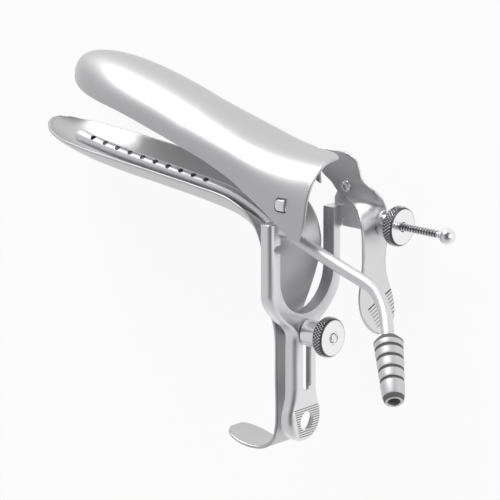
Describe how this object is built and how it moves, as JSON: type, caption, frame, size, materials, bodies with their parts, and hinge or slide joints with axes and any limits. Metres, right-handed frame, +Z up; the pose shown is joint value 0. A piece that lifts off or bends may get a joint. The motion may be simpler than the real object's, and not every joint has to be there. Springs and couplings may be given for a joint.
{
  "type": "vaginal speculum",
  "caption": "Two-bladed vaginal speculum in stainless steel, with a screw to hold the blades open, a sliding yoke and a side tube that draws off smoke.",
  "frame": {"origin": "middle of the footprint, on the surface that the instrument lies on", "axes": "+X from the blade tips towards the operator, +Y from the handle towards the anterior blade, +Z up from the surface, towards the side with the hose barb"},
  "size_m": [0.2124, 0.1542, 0.0837],
  "materials": {
    "satin_steel": "satin stainless steel sheet",
    "polished_steel": "polished stainless steel",
    "knurled_steel": "diamond-knurled stainless steel"
  },
  "bodies": {
    "posterior_body": {"posterior_blade": "satin_steel", "smoke_tube": "satin_steel", "hose_barb": "polished_steel", "handle_stud": "polished_steel"},
    "yoke_body": {"yoke": "satin_steel", "near_hinge_stud": "polished_steel", "far_hinge_rivet": "polished_steel", "screw_pin": "polished_steel"},
    "anterior_body": {"anterior_blade": "satin_steel", "thumb_lever": "satin_steel"},
    "screw_body": {"opening_screw": "polished_steel"},
    "collar_body": {"opening_collar": "polished_steel"},
    "opening_nut_body": {"opening_nut": "knurled_steel"},
    "thumb_nut_body": {"thumb_nut": "knurled_steel"}
  },
  "joints": [
    {"name": "yoke_slide", "type": "slide", "parent": "posterior_body", "child": "yoke_body", "axis": [-0.0052, 0.9993, 0.0378], "range_m": [0, 0.019]},
    {"name": "blade_hinge", "type": "hinge", "parent": "yoke_body", "child": "anterior_body", "pos_m": [0.03301, 0.0332, 0.03256], "axis": [0.1363, 0.0382, -0.9899], "range_deg": [-9, 14]},
    {"name": "screw_tilt", "type": "hinge", "parent": "yoke_body", "child": "screw_body", "pos_m": [0.03277, 0.02003, 0.00495], "axis": [0.1363, 0.0382, -0.9899], "range_deg": [-9, 14]},
    {"name": "collar_slide", "type": "slide", "parent": "screw_body", "child": "collar_body", "axis": [0.9907, 0, 0.1364], "range_m": [-0.0036, 0.0023]},
    {"name": "opening_nut_turn", "type": "hinge", "parent": "collar_body", "child": "opening_nut_body", "pos_m": [0.05754, 0.02003, 0.00836], "axis": [0.9907, 0, 0.1364], "continuous": true},
    {"name": "thumb_nut_turn", "type": "hinge", "parent": "posterior_body", "child": "thumb_nut_body", "pos_m": [0.03034, -0.02506, 0.02995], "axis": [0.9907, 0, 0.1364], "continuous": true}
  ],
  "couplings": [
    {"joint": "screw_tilt", "follows": "blade_hinge", "ratio": 1},
    {"joint": "collar_slide", "follows": "blade_hinge", "m_per_rad": -0.0144}
  ]
}
